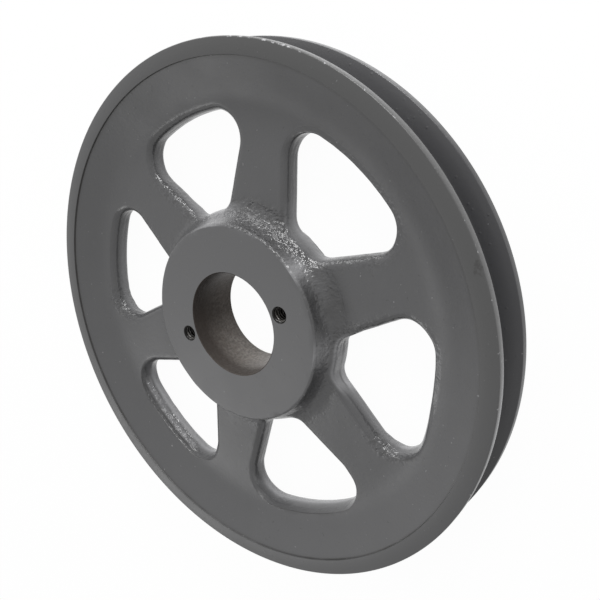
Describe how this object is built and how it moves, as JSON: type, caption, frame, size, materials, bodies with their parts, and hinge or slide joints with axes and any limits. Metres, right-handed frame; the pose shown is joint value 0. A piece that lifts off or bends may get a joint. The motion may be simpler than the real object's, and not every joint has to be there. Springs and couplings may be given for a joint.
{
  "type": "v-groove pulley",
  "caption": "Spoked cast-iron V-belt pulley with a single groove, painted grey, with a tapered bore for a split bushing and tapped screw holes in the hub",
  "frame": {"origin": "on the bore axis, in the middle plane of the belt groove", "axes": "+Z along the bore axis towards the face with the large end of the bore, +X through a tapped hole, +Y completes the right-handed frame"},
  "size_m": [0.2096, 0.2096, 0.0222],
  "materials": {
    "painted_casting": "satin grey paint over cast iron, bare turned iron in the bore"
  },
  "bodies": {
    "root": {"pulley_casting": "painted_casting"}
  },
  "joints": []
}
